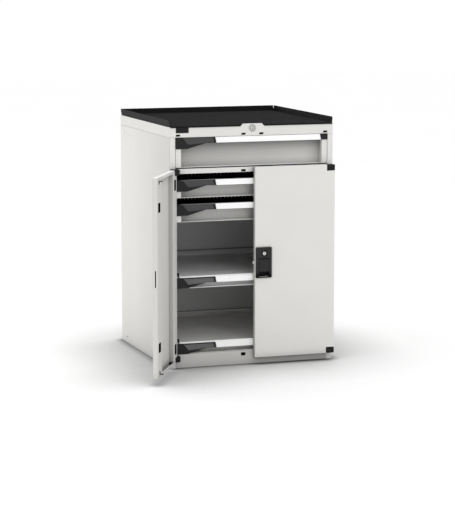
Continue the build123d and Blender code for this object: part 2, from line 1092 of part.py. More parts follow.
# Lock case: a bezel on the door skin, a box behind it, the finger pocket and a works cavity
pocket_floor = case_face + pocket_depth
cavity_front = pocket_floor + sheet
case_back = door_in - case_back_gap
pocket_left = case_x - pocket_width / 2
pocket_right = case_x + pocket_width / 2
crank_reach = crank_radius + crank_pin_radius + crank_swing_slack + slide_play
with BuildPart() as lock_case:
    block((case_left, case_right), (case_face, door_out), (case_low, case_high))
    fillet(lock_case.edges().filter_by(Axis.Y), case_corner)
    fillet(lock_case.faces().sort_by(Axis.Y)[0].edges(), 2)
    block(
        (body_left, body_right),
        (door_out, case_back),
        (case_low + case_rim, case_high - case_rim),
    )
    block(
        (pocket_left, pocket_right),
        (case_face - 1, pocket_floor),
        (pocket_low, pocket_high),
        Mode.SUBTRACT,
    )
    block(
        (body_left + sheet, body_right - sheet),
        (cavity_front, case_back + 1),
        (case_low + case_rim + sheet, case_high - case_rim - sheet),
        Mode.SUBTRACT,
    )
    block(
        (body_left - 1, body_left + 2 * sheet),
        (bolt_y - strike_width / 2, bolt_y + strike_width / 2),
        (door_middle - bolt_height / 2 - 1, door_middle + bolt_height / 2 + 1),
        Mode.SUBTRACT,
    )
    bar_along_y(
        key_x,
        key_z,
        (case_face - 1, case_face + key_seat_depth),
        key_seat_radius,
        Mode.SUBTRACT,
    )
    bar_along_y(
        key_x,
        key_z,
        (case_face, cavity_front + 1),
        key_radius + running_fit,
        Mode.SUBTRACT,
    )
    bar_along_x(
        case_face + paddle_axis_depth,
        paddle_axis_z,
        (pocket_left - trunnion_length, pocket_right + trunnion_length),
        trunnion_radius + running_fit,
        Mode.SUBTRACT,
    )
write("lock_case", lock_case.part)

# Paddle, which hinges on two trunnions near its top edge
paddle_left = pocket_left + paddle_side_gap
paddle_right = pocket_right - paddle_side_gap
paddle_face = case_face + 0.6
with BuildPart() as paddle:
    block(
        (paddle_left, paddle_right),
        (paddle_face, paddle_face + paddle_thickness),
        (paddle_low, paddle_axis_z + paddle_above_axis),
    )
    fillet(paddle.edges().filter_by(Axis.Y), 2)
    block(
        (paddle_left + 3, paddle_right - 3),
        (paddle_face + paddle_thickness, paddle_face + paddle_thickness + paddle_lip),
        (paddle_low, paddle_low + 3),
    )
    bar_along_x(
        case_face + paddle_axis_depth,
        paddle_axis_z,
        (pocket_left - trunnion_length + 0.5, pocket_right + trunnion_length - 0.5),
        trunnion_radius,
    )
write("paddle", paddle.part)

# Key cylinder of the door lock, with the crank that moves the bolt
crank_front = bolt_y - bolt_thickness / 2 - slide_play - crank_thickness
with BuildPart() as door_lock_core:
    bar_along_y(key_x, key_z, (case_face + 0.5, crank_front + 0.5), key_radius)
    fillet(door_lock_core.edges().group_by(Axis.Y)[0], 0.6)
    block(
        (key_x - 0.6, key_x + 0.6),
        (case_face, case_face + 3),
        (key_z - 3.5, key_z + 3.5),
        Mode.SUBTRACT,
    )
    block(
        (key_x - crank_width / 2, key_x + crank_width / 2),
        (crank_front, crank_front + crank_thickness),
        (key_z - crank_radius - crank_width / 2, key_z + crank_width / 2),
    )
    bar_along_y(
        key_x,
        key_z - crank_radius,
        (crank_front, bolt_y + bolt_thickness / 2 + 1),
        crank_pin_radius,
    )
write("door_lock_core", door_lock_core.part)

# Flat bolt, thrown through the free edge; the crank pin works in the slot of its stem
with BuildPart() as latch_bolt:
    tip = bolt_tip_gap - half_gap
    low = door_middle - bolt_height / 2
    high = door_middle + bolt_height / 2
    bolt_span = (bolt_y - bolt_thickness / 2, bolt_y + bolt_thickness / 2)
    block((tip, bolt_tail), bolt_span, (low, high))
    fillet(latch_bolt.edges().filter_by(Axis.Y).group_by(Axis.X)[0], 5.5)
    block(
        (key_x - bolt_stem_half, key_x + bolt_stem_half),
        bolt_span,
        (low, key_z + bolt_stem_over_key),
    )
    slot_half = crank_pin_radius + crank_swing_slack + slide_play
    block(
        (key_x - slot_half, key_x + slot_half),
        (bolt_span[0] - 1, bolt_span[1] + 1),
        (key_z - crank_radius - crank_pin_radius - 1, key_z + crank_pin_radius + 1),
        Mode.SUBTRACT,
    )
write("latch_bolt", latch_bolt.part)

# Drawer lock: a ring and sleeve in the header, the core, its shaft and the lock bar
with BuildPart() as top_lock_ring:
    bar_along_y(0, top_lock_z, (front - ring_thickness, front), ring_radius)
    fillet(top_lock_ring.edges().group_by(Axis.Y)[0], 0.8)
    bar_along_y(0, top_lock_z, (front - 0.5, front + sleeve_length), sleeve_radius)
    bar_along_y(
        0,
        top_lock_z,
        (front - 2 * ring_thickness, front + sleeve_length + 1),
        core_radius + running_fit,
        Mode.SUBTRACT,
    )
write("top_lock_ring", top_lock_ring.part)

core_face = front - ring_thickness - core_proud
core_end = front + sleeve_length + 2
with BuildPart() as top_lock_core:
    bar_along_y(0, top_lock_z, (core_face, core_end), core_radius)
    fillet(top_lock_core.edges().group_by(Axis.Y)[0], 0.6)
    block(
        (-0.7, 0.7),
        (core_face - 1, core_face + 3),
        (top_lock_z - 3.5, top_lock_z + 3.5),
        Mode.SUBTRACT,
    )
write("top_lock_core", top_lock_core.part)

crank_y = bar_y - slide_play - 3
with BuildPart() as lock_shaft:
    bar_along_y(0, top_lock_z, (core_end, crank_y + 3), shaft_radius)
    block(
        (-shaft_radius, shaft_radius),
        (crank_y, crank_y + 3),
        (top_lock_z - crank_radius - shaft_radius, top_lock_z),
    )
    bar_along_y(
        0,
        top_lock_z - crank_radius,
        (crank_y, bar_y + bar_thickness + 1),
        2.5,
    )
write("lock_shaft", lock_shaft.part)

pin_z = top_lock_z - crank_radius
with BuildPart() as lock_bar:
    block(
        (-bar_width / 2, bar_width / 2),
        (bar_y, bar_y + bar_thickness),
        (base_height + 10, pin_z + bar_top_half + 3),
    )
    block(
        (0, crank_radius + 8),
        (bar_y, bar_y + bar_thickness),
        (pin_z - bar_top_half - 3, pin_z + bar_top_half + 3),
    )
    block(
        (-4, crank_radius + 4),
        (bar_y - 1, bar_y + bar_thickness + 1),
        (pin_z - bar_top_half, pin_z + bar_top_half),
        Mode.SUBTRACT,
    )
    for level in levels:
        hook_z = level + hook_lift
        half = hook_width / 2
        block((-half, half), (bar_y - hook_reach, bar_y - fit), (hook_z, hook_z + 2))
        block(
            (-half, half),
            (bar_y - hook_reach, bar_y - hook_reach + 2),
            (hook_z, hook_z + 2 + hook_lip),
        )
write("lock_bar", lock_bar.part)
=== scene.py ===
# %% [markdown]
# # A steel tool cabinet, from CAD model to picture
# The CAD model is already packed, with one Blender object for each piece. This lesson gives each
# piece the finish of the real one, adds the small parts that the CAD model leaves out, and sets
# up the camera, the floor and the light. Blender counts in metres. The small parts are drawn in
# millimetres, as on a workshop drawing, and are scaled as they are built. The origin is on the
# floor, under the middle of the cabinet's body, with +X to the right, +Y to the back and +Z up.

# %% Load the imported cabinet
import json
import math

import bmesh
import bpy
from mathutils import Matrix, Vector


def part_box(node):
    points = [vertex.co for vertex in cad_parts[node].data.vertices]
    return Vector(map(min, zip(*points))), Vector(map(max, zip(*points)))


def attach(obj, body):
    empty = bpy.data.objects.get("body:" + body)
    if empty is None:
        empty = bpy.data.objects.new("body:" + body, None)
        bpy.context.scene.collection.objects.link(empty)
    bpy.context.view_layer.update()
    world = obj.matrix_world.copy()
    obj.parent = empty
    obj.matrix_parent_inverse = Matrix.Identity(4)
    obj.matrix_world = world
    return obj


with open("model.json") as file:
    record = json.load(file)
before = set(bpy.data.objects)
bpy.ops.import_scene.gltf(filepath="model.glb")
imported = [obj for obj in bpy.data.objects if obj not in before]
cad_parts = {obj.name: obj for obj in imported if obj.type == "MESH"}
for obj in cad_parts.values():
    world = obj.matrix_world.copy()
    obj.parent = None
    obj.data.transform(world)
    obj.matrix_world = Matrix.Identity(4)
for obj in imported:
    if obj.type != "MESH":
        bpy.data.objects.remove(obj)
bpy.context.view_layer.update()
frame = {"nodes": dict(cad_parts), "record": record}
nodes = frame["nodes"]
print("pieces in the cabinet:", len(nodes))

# %% [markdown]
# ## The camera
# The photograph was taken from the left, a little above the top tray. A camera could be placed by
# eye, but a few pixels of error show along every straight edge of a cabinet. So the place, the
# two angles and the focal length come from a fit to 25 corners in the photograph. The place is in
# metres and the angles are in degrees. The focal length was found in pixels, and the sensor
# height turns it into millimetres.

# %% Camera
camera_place = (-2.88523, -8.51796, 1.6908)
camera_pitch = 8.1280
camera_yaw = 18.8023
focal_pixels = 2099.46
picture_height = 512
sensor_height = 36.0
far_clip = 60

camera_data = bpy.data.cameras.new("camera")
camera_data.sensor_fit = "VERTICAL"
camera_data.sensor_height = sensor_height
camera_data.lens = focal_pixels * sensor_height / picture_height
camera_data.clip_end = far_clip
camera = bpy.data.objects.new("camera", camera_data)
camera.location = camera_place
camera.rotation_euler = (math.radians(90 - camera_pitch), 0, math.radians(-camera_yaw))
bpy.context.scene.collection.objects.link(camera)
bpy.context.scene.camera = camera
bpy.context.scene.view_settings.view_transform = "Standard"
print("lens in millimetres:", round(camera_data.lens, 1))


# %% [markdown]
# ## Helpers for materials
# Colours are written as they look on a screen, in sRGB hex, but a shader wants linear light, so
# one function turns them over. Sizes of patterns are written in millimetres, and a noise
# texture's scale is how many of them fit into a metre. One function adds a node with its
# settings and its links, which keeps each finish below down to a few lines. Sockets are named,
# or numbered where a node has several of one name.

# %% Colour, pattern size and node
def linear(hex_colour):
    """Linear RGBA of an sRGB colour such as "DCDBD8"."""
    channels = [int(hex_colour[i : i + 2], 16) / 255 for i in (0, 2, 4)]
    return [c / 12.92 if c <= 0.04045 else ((c + 0.055) / 1.055) ** 2.4 for c in channels] + [1]


def per_metre(millimetres):
    """Scale of a pattern whose grains are this many millimetres apart."""
    return 1000 / millimetres


def feed(owner, target, links):
    """Connects each source to a node's named or numbered socket."""
    for key, source in links.items():
        owner.node_tree.links.new(source, target.inputs[key])


def add_node(owner, kind, settings=None, links=None):
    """A node of the given kind. A setting that isn't a socket is an attribute of the node."""
    made = owner.node_tree.nodes.new("ShaderNode" + kind)
    for key, value in (settings or {}).items():
        if isinstance(key, int) or key in made.inputs:
            made.inputs[key].default_value = value
        else:
            setattr(made, key, value)
    feed(owner, made, links or {})
    return made


print("middle grey 808080 in linear light:", round(linear("808080")[0], 3))

# %% [markdown]
# ## A bare finish and a drifting colour
# No painted or moulded surface has exactly one colour: it drifts a little from place to place,
# with the batch, the heat of the oven and years of hands. One flat colour would be quicker, but
# it looks like a drawing. So each finish has two close colours, and a soft noise mixes them in
# patches of a stated size.

# %% New finish and drifting colour
drift_ends = (0.3, 0.7)


def new_finish(name, roughness, metallic=0.0):
    """A new material and its shader, with roughness and metal share set."""
    material = bpy.data.materials.new(name)
    material.use_nodes = True
    shader = material.node_tree.nodes["Principled BSDF"]
    shader.inputs["Roughness"].default_value = roughness
    shader.inputs["Metallic"].default_value = metallic
    return material, shader


def drift_colour(material, shader, place, colours, patch):
    """A colour that drifts between two close ones, in patches of the given millimetres."""
    scale = per_metre(patch)
    cloud = add_node(material, "TexNoise", {"Scale": scale, "Detail": 3.0}, {"Vector": place})
    ramp = add_node(material, "ValToRGB", {}, {"Fac": cloud.outputs["Fac"]})
    for element, position, colour in zip(ramp.color_ramp.elements, drift_ends, colours):
        element.position = position
        element.color = linear(colour)
    feed(material, shader, {"Base Color": ramp.outputs["Color"]})
    return ramp.outputs["Color"]


print("a patch of 180 mm repeats", round(per_metre(180), 1), "times in a metre")

# %% [markdown]
# ## Painted shade in corners
# Corners, folds and recesses are darkened in the colour itself, as painted shade. The shade could
# be painted by hand along each fold. An ambient occlusion node finds the corners by itself: it
# gives 1 in the open and less where other surfaces stand close by. A power sets how fast the
# colour falls off. It is drawn strongly, because the photograph's corners are darker than soft
# light alone makes them.

# %% Painted corner shade
corner_shade_reach = 0.06
corner_shade_samples = 8
# The Mix node's sockets for colours share their names with its other sockets, so these are
# the numbers of its share, its two colours and its result.
mix_share = 0
mix_first = 6
mix_second = 7
mix_result = 2


def paint_corner_shade(material, shader, film, power, reach=corner_shade_reach):
    """Painted shade: darkens a colour near other surfaces. A higher power darkens it more."""
    look_round = {"Distance": reach, "samples": corner_shade_samples}
    open_share = add_node(material, "AmbientOcclusion", look_round).outputs["AO"]
    shade_share = add_node(material, "Math", {"operation": "POWER", 1: power}, {0: open_share})
    painted_shade = add_node(
        material,
        "Mix",
        {"data_type": "RGBA", "blend_type": "MULTIPLY", mix_share: 1.0},
        {mix_first: film, mix_second: shade_share.outputs["Value"]},
    )
    feed(material, shader, {"Base Color": painted_shade.outputs[mix_result]})
    return painted_shade.outputs[mix_result]


print("corners are dulled within", corner_shade_reach * 1000, "mm")

# %% [markdown]
# ## Rivet holes
# Small round marks in the side panels show where rivets hold the uprights. They could be cut
# into the mesh, but the CAD mesh stays as it is, and the marks are only 3 to 7 mm wide. So the
# dark inside of each hole is painted into the coat as shade, a black spot within a radius of each
# place, seen along X, through both sides of the sheet.

# %% Painted hole shade
hole_shade_black = "101010"


def paint_hole_shade(material, shader, place, film, spots):
    """Painted hole shade: dark spots through both sides, at (y, z, radius) in millimetres."""
    axes = add_node(material, "SeparateXYZ", {}, {"Vector": place}).outputs
    flat = add_node(material, "CombineXYZ", {}, {"Y": axes["Y"], "Z": axes["Z"]})
    for y, z, radius in spots:
        away = add_node(
            material,
            "VectorMath",
            {"operation": "DISTANCE", 1: (0, y / 1000, z / 1000)},
            {0: flat.outputs["Vector"]},
        )
        inside = add_node(
            material,
            "Math",
            {"operation": "LESS_THAN", 1: radius / 1000},
            {0: away.outputs["Value"]},
        )
        spot = add_node(
            material,
            "Mix",
            {"data_type": "RGBA", mix_second: linear(hole_shade_black)},
            {mix_share: inside.outputs["Value"], mix_first: film},
        )
        film = spot.outputs[mix_result]
    feed(material, shader, {"Base Color": film})


print("holes are drawn in", hole_shade_black)

# %% [markdown]
# ## Painted shading and painted light on upper faces
# In the photograph the recess of the top drawer runs from dark to light, downwards and to the
# right. The left side and the back of the lower bay are graded too, and faces that look up are
# nearly white. More or harder lamps could do this, but they would burn out the pale doors. So
# light and shade are painted into a coat: a share that its colour is multiplied by runs along one
# axis. A second function paints a lighter coat on faces that look up, by the height of the
# surface's normal, as painted light.

# %% Painted shading and painted light on upward faces
nowhere_in_front = -1000
upward_from = 0.4
upward_to = 0.9


def paint_shading_along(material, place, film, grade):
    """Painted shading: the film's colour times a share that runs along an axis.

    A grade is the axis, its two ends, the share at each end and a depth. Lengths are in
    millimetres. Faces in front of the depth keep the plain colour."""
    axis, low, high, share_low, share_high, behind = grade
    axes = add_node(material, "SeparateXYZ", {}, {"Vector": place}).outputs
    ends = {"From Min": low / 1000, "From Max": high / 1000}
    shares = {"To Min": share_low, "To Max": share_high}
    share = add_node(material, "MapRange", ends | shares, {"Value": axes[axis]})
    recessed = add_node(
        material, "Math", {"operation": "GREATER_THAN", 1: behind / 1000}, {0: axes["Y"]}
    )
    graded = add_node(
        material,
        "Mix",
        {"data_type": "RGBA", "blend_type": "MULTIPLY"},
        {
            mix_share: recessed.outputs["Value"],
            mix_first: film,
            mix_second: share.outputs["Result"],
        },
    )
    return graded.outputs[mix_result]


def paint_light_upward(material, film, lighter):
    """Painted light: a lighter colour on faces that look up, by the height of their normal."""
    normal = add_node(material, "NewGeometry").outputs["Normal"]
    height = add_node(material, "SeparateXYZ", {}, {"Vector": normal}).outputs["Z"]
    tilt = {"From Min": upward_from, "From Max": upward_to}
    upward = add_node(material, "MapRange", tilt, {"Value": height})
    mixed = add_node(
        material,
        "Mix",
        {"data_type": "RGBA", mix_second: linear(lighter)},
        {mix_share: upward.outputs["Result"], mix_first: film},
    )
    return mixed.outputs[mix_result]


print("a face counts as looking up from a normal height of", upward_from)

# %% [markdown]
# ## Powder-coated steel
# The body, doors and fronts are sheet steel with a light grey polyester powder, sprayed on dry
# and baked. The powder melts into a skin with a fine orange peel, about two millimetres from
# crest to crest, and it draws back a little from sharp corners, so that every fold has a small
# round edge. A noise gives the peel and a bevel node rounds the edges, which leaves the CAD mesh
# as it is. The powder is a plastic with an IOR close to the shader's default, and its reflection
# is broad and weak.

# %% The powder coat's recipe
peel_spacing = 2.2
peel_depth = 0.00008
fold_round = 0.0007
edge_samples = 6
grain_strength = 0.35
powder_patch = 180
powder_roughness = 0.55
gloss_spread = 0.05


def powder_coated_steel(
    name,
    colours,
    roughness=powder_roughness,
    corner=0.0,
    mirror=0.4,
    spots=(),
    painted_shading=(),
    upward="",
):
    """Baked powder over folded steel, with orange peel and softly rounded folds."""
    material, shader = new_finish(name, roughness)
    place = add_node(material, "TexCoord").outputs["Object"]
    film = drift_colour(material, shader, place, colours, powder_patch)
    # Painted light on upper faces, painted shading, painted corner shade and painted hole shade.
    if upward:
        film = paint_light_upward(material, film, upward)
    for grade in painted_shading:
        film = paint_shading_along(material, place, film, grade)
    feed(material, shader, {"Base Color": film})
    if corner:
        paint_corner_shade(material, shader, film, corner)
    if spots:
        paint_hole_shade(material, shader, place, film, spots)
    peel = add_node(
        material,
        "TexNoise",
        {"Scale": per_metre(peel_spacing), "Detail": 2.0, "Roughness": 0.45},
        {"Vector": place},
    )
    edge = add_node(material, "Bevel", {"Radius": fold_round, "samples": edge_samples})
    skin = add_node(
        material,
        "Bump",
        {"Strength": grain_strength, "Distance": peel_depth},
        {"Height": peel.outputs["Fac"], "Normal": edge.outputs["Normal"]},
    )
    gloss = add_node(
        material,
        "MapRange",
        {"To Min": roughness - gloss_spread, "To Max": roughness + gloss_spread},
        {"Value": peel.outputs["Fac"]},
    )
    skin_links = {"Normal": skin.outputs["Normal"], "Roughness": gloss.outputs["Result"]}
    feed(material, shader, skin_links)
    shader.inputs["Specular IOR Level"].default_value = mirror
    return material


print("orange peel repeats", round(per_metre(peel_spacing)), "times in a metre")

# %% [markdown]
# ## The cabinet's powder coats
# The maker sprays one light grey outside, and anthracite and black on a few small pieces. One
# material for all grey pieces would be enough for a plain picture. But each group of pieces has
# its own painted corner shade, hole shade and painted shading, so each gets its own coat from the
# same recipe. To the eye they are one satin paint. The insides see little light, so their coat is
# written paler, and the open door's coat is written darker, as painted shade.

# %% Light grey, anthracite and black powder coat
outer_grey = ("DAD9D6", "DDDCD9")
# The open door's grey is written darker than the outer grey: painted shade.
leaf_shaded_grey = ("CFCECB", "D1D0CD")
base_grey = ("C4C3C0", "C7C6C3")
inside_grey = ("F6F6F6", "F8F8F8")
# Painted light: the pale grey that faces looking up are mixed towards.
upward_painted_light_grey = "F4F4F3"
# Places and radii of the rivet holes: y, z and radius in millimetres.
rivet_holes = ((270, 27.5, 3.5), (303, 72, 1.7), (272, 933, 1.7), (-318, 935, 1.7))
# Painted shading along one axis: the left side darker towards its front, the back of the lower bay
# darker towards its foot, the top drawer's recess darker towards its top and left.
left_painted_shading = (("Y", -355, 150, 0.86, 1.01, -361),)
back_painted_shading = (("Z", 250, 420, 0.78, 1.0, nowhere_in_front),)
recess_painted_shading = (("Z", 862, 936, 0.88, 0.38, -340), ("X", -318, 318, 0.82, 1.1, -340))

# Folded outer pieces: satin grey, with painted shade in folds and painted light on top faces.
grey_powder = powder_coated_steel(
    "light_grey_powder_coat", outer_grey, corner=1.1, upward=upward_painted_light_grey
)
# Side panels: large even faces, broken only by painted hole shade and a slow painted shading.
panel_powder = powder_coated_steel(
    "light_grey_powder_on_panels", outer_grey, spots=rivet_holes
)
left_panel_powder = powder_coated_steel(
    "light_grey_powder_on_left_panel", outer_grey, spots=rivet_holes, painted_shading=left_painted_shading
)
# The open door, seen from inside: the outer grey written darker, as painted shade.
leaf_shaded_powder = powder_coated_steel(
    "light_grey_powder_on_leaf", leaf_shaded_grey, corner=0.7, upward=upward_painted_light_grey
)
# Fronts and handles: weaker painted shade in shallower corners; painted shading in the top recess.
front_powder = powder_coated_steel(
    "light_grey_powder_on_fronts", outer_grey, corner=0.5, upward=upward_painted_light_grey
)
drawer_powder = powder_coated_steel(
    "light_grey_powder_on_top_drawer",
    outer_grey,
    corner=0.3,
    painted_shading=recess_painted_shading,
    upward=upward_painted_light_grey,
)
# Insides: the same paint, lifted so that it still reads as grey in the shade of the bays.
inside_powder = powder_coated_steel("light_grey_powder_inside", inside_grey)
back_powder = powder_coated_steel(
    "light_grey_powder_on_the_back", inside_grey, painted_shading=back_painted_shading
)
# The base: darker, because it stands in the shade near the floor.
base_powder = powder_coated_steel("light_grey_powder_on_base", base_grey, corner=0.2)
# Anthracite and black coats swallow light, so only their weak sheen shows their shape.
dark_powder = powder_coated_steel("anthracite_powder_coat", ("242425", "282829"))
black_powder = powder_coated_steel("black_powder_coat", ("0F0F0F", "111111"), 0.6, mirror=0.1)
print("powder coats:", grey_powder.name, dark_powder.name, black_powder.name)

# %% [markdown]
# ## Moulded plastic
# The end caps, hinge blocks, lock case and badge are moulded in black or charcoal polyamide and
# ABS, whose IOR of about 1.53 is close to the shader's default. The mould is spark-eroded, which
# leaves shallow pits about a millimetre apart, so the plastic looks matt and a little speckled.
# A noise would look like orange peel again. A Voronoi texture has the right pattern of cells.

# %% The plastic's recipe
pit_spacing = 1.1
pit_depth = 0.00005
pocket_shade_reach = 0.025
plastic_edge = 0.0005
plastic_patch = 60


def moulded_plastic(
    name,
    colours,
    roughness,
    spacing=pit_spacing,
    depth=pit_depth,
    mirror=0.5,
    corner=0.0,
    painted_shading=(),
):
    """Injection-moulded plastic with the grain of a spark-eroded mould."""
    material, shader = new_finish(name, roughness)
    place = add_node(material, "TexCoord").outputs["Object"]
    skin = drift_colour(material, shader, place, colours, plastic_patch)
    # Painted shading along axes and painted shade in the corners.
    for grade in painted_shading:
        skin = paint_shading_along(material, place, skin, grade)
    feed(material, shader, {"Base Color": skin})
    if corner:
        paint_corner_shade(material, shader, skin, corner, pocket_shade_reach)
    pits = add_node(material, "TexVoronoi", {"Scale": per_metre(spacing)}, {"Vector": place})
    edge = add_node(material, "Bevel", {"Radius": plastic_edge, "samples": edge_samples})
    grain = add_node(
        material,
        "Bump",
        {"Strength": grain_strength, "Distance": depth},
        {"Height": pits.outputs["Distance"], "Normal": edge.outputs["Normal"]},
    )
    feed(material, shader, {"Normal": grain.outputs["Normal"]})
    shader.inputs["Specular IOR Level"].default_value = mirror
    return material


print("mould pits repeat", round(per_metre(pit_spacing)), "times in a metre")

# %% [markdown]
# ## The cabinet's plastics
# The caps and hinges are polyamide, which is tough and matt. The lock case is ABS, and its pocket
# under the paddle is the darkest place of the front, so painted shade darkens its colour down
# there and in its corners. The badge, the label strips and the satin facets come from smoother
# tools, so their pits are finer and their surface is glossier. The colours could share one
# material with a mask, but one material for each plastic is easier to read and to reuse.

# %% Charcoal, black, white and grey plastic
fine_spacing = 0.6
fine_depth = 0.00001
pocket_painted_shading = (("Z", 376, 391, 0.12, 1.0, nowhere_in_front),)

# Polyamide with eroded grain: matt, with only a faint sheen along its edges.
charcoal_cap = moulded_plastic("charcoal_polyamide_caps", ("202020", "232323"), 0.55, mirror=0.15)
black_hinge = moulded_plastic("black_polyamide_hinges", ("101010", "131313"), 0.5, mirror=0.2)
# ABS with eroded grain: a flat dark grey, turned black in the pocket by painted shade.
black_case = moulded_plastic(
    "black_abs_lock_case",
    ("303030", "343434"),
    0.5,
    mirror=0.05,
    corner=2.2,
    painted_shading=pocket_painted_shading,
)
# Black plastic for small parts. On plugs, cups, liners and key slots it paints the shade of
# openings.
black_plastic_and_painted_shade = moulded_plastic("black_moulded_plastic_and_painted_shade", ("040404", "060606"), 0.7, mirror=0.05)
# Polished tools: deeper black or cleaner white, with a clearer reflection.
gloss_badge = moulded_plastic(
    "gloss_black_abs_badge", ("060606", "080808"), 0.3, fine_spacing, fine_depth, 0.2
)
white_label = moulded_plastic(
    "white_pvc_label_strip", ("F8F8F8", "FCFCFC"), 0.4, fine_spacing, fine_depth, 0.4
)
white_nylon = moulded_plastic(
    "white_nylon_bolt_nose", ("F4F4F2", "F8F8F6"), 0.4, fine_spacing, fine_depth, 0.4
)
# Satin fields on the caps: they mirror the white room, and their colour is also written lighter
# than the cap's, as a painted reflection, on the shelves lighter still.
drawer_facet_painted_reflection = moulded_plastic(
    "satin_polyamide_on_drawer_caps", ("3A3A3A", "3D3D3D"), 0.35, fine_spacing, fine_depth, 0.3
)
shelf_facet_painted_reflection = moulded_plastic(
    "satin_polyamide_on_shelf_caps", ("585858", "5C5C5C"), 0.35, fine_spacing, fine_depth, 0.3
)
# A plain matt grey strip that paints a thin line of shade: painted shadow.
shadow_line_strip = moulded_plastic("grey_pvc_edging", ("9A9A9A", "9E9E9E"), 0.5)
print("plastics:", charcoal_cap.name, black_hinge.name, black_case.name, white_label.name)

# %% [markdown]
# ## Zinc plate and nickel
# Slides, screws and the lock bar are cold-rolled steel with a bright zinc plate. The doors'
# catches are drawn in a dark zinc, which paints the shade they stand in. The rolls leave fine
# lines along the strip, here along Y, and the plating is cloudy, so the gloss changes from place
# to place. An anisotropic shader could stand for the lines, but drawn lines also show in a close
# view. The real lines are a few hundredths of a millimetre apart, too fine to show, so they are
# drawn about one millimetre apart. The lock cylinders are nickel plate on brass, polished on a
# wheel, smoother and a little warmer.

# %% Zinc and nickel plate
rolling_line = 1.2
rolling_length = 90
rolling_depth = 0.00004
wheel_line = 0.8
wheel_length = 8
wheel_depth = 0.00002
plating_patch = 35
plating_edge = 0.0003
line_strength = 0.15
clear_below = 0.07
cloudy_above = 0.09


def plated_metal(name, colours, roughness, line_width, line_length, depth):
    """Plated steel or brass with faint lines and a cloudy gloss."""
    material, shader = new_finish(name, roughness, metallic=1.0)
    place = add_node(material, "TexCoord").outputs["Object"]
    drift_colour(material, shader, place, colours, plating_patch)
    across = per_metre(line_width)
    stretch = (across, per_metre(line_length), across)
    stretched = add_node(material, "Mapping", {"Scale": stretch}, {"Vector": place})
    line_noise = {"Scale": 1.0, "Detail": 2.0}
    lines = add_node(material, "TexNoise", line_noise, {"Vector": stretched.outputs["Vector"]})
    edge = add_node(material, "Bevel", {"Radius": plating_edge, "samples": edge_samples})
    rolled = add_node(
        material,
        "Bump",
        {"Strength": line_strength, "Distance": depth},
        {"Height": lines.outputs["Fac"], "Normal": edge.outputs["Normal"]},
    )
    gloss = add_node(
        material,
        "MapRange",
        {"To Min": roughness - clear_below, "To Max": roughness + cloudy_above},
        {"Value": lines.outputs["Fac"]},
    )
    skin_links = {"Normal": rolled.outputs["Normal"], "Roughness": gloss.outputs["Result"]}
    feed(material, shader, skin_links)
    return material


# Bright zinc is a cool grey mirror under a haze. The dark zinc is a dull mirror, as painted shade.
bright_zinc = plated_metal(
    "bright_zinc_plate", ("AEB0B3", "BCBDBF"), 0.34, rolling_line, rolling_length, rolling_depth
)
dark_zinc_painted_shade = plated_metal(
    "dark_zinc_as_painted_shade", ("1C1C1C", "232323"), 0.42, rolling_line, rolling_length, rolling_depth
)
# Polished nickel gives sharp highlights, and the satin ring round it softer ones.
polished_nickel = plated_metal(
    "polished_nickel_plate", ("C6C4BF", "D0CFCB"), 0.2, wheel_line, wheel_length, wheel_depth
)
satin_nickel = plated_metal(
    "satin_nickel_ring", ("9C9C9A", "A6A6A4"), 0.35, wheel_line, wheel_length, wheel_depth
)
print("metals:", bright_zinc.name, polished_nickel.name, satin_nickel.name)

# %% [markdown]
# ## Rubber
# The mat in the tray is black nitrile rubber, pressed between rolls. Rubber scatters light under
# its dusty bloom, so it is very matt and almost without a mirror image. The specks of the bloom
# are about half a millimetre across, and are drawn twice as coarse so that they show. The ribs
# of the mat are wide enough to be a shape, and are modelled further on.

# %% Nitrile rubber
bloom_speck = 1.0
bloom_depth = 0.00008
bloom_strength = 0.4
rubber_patch = 120
rubber_edge = 0.0004
rubber_mirror = 0.02
black_rubber, rubber_shader = new_finish("black_nitrile_rubber", 0.8)
rubber_place = add_node(black_rubber, "TexCoord").outputs["Object"]
drift_colour(black_rubber, rubber_shader, rubber_place, ("2A2A2A", "2D2D2D"), rubber_patch)
speck_noise = {"Scale": per_metre(bloom_speck), "Detail": 4.0}
bloom = add_node(black_rubber, "TexNoise", speck_noise, {"Vector": rubber_place})
round_edge = add_node(black_rubber, "Bevel", {"Radius": rubber_edge, "samples": edge_samples})
rubber_skin = add_node(
    black_rubber,
    "Bump",
    {"Strength": bloom_strength, "Distance": bloom_depth},
    {"Height": bloom.outputs["Fac"], "Normal": round_edge.outputs["Normal"]},
)
feed(black_rubber, rubber_shader, {"Normal": rubber_skin.outputs["Normal"]})
rubber_shader.inputs["Specular IOR Level"].default_value = rubber_mirror
print("rubber:", black_rubber.name)

# %% [markdown]
# ## Give every CAD piece its finish
# The record names a material slot for each piece, so a table from slot to material dresses the
# whole cabinet in one pass. Going through the pieces by hand would be easy to get wrong with
# sixty of them. A second table holds the few pieces that look different from the rest of their
# slot, such as the top drawer with painted shading, the open door written darker as painted
# shade, the catches in dark zinc as painted shade and the paler insides.

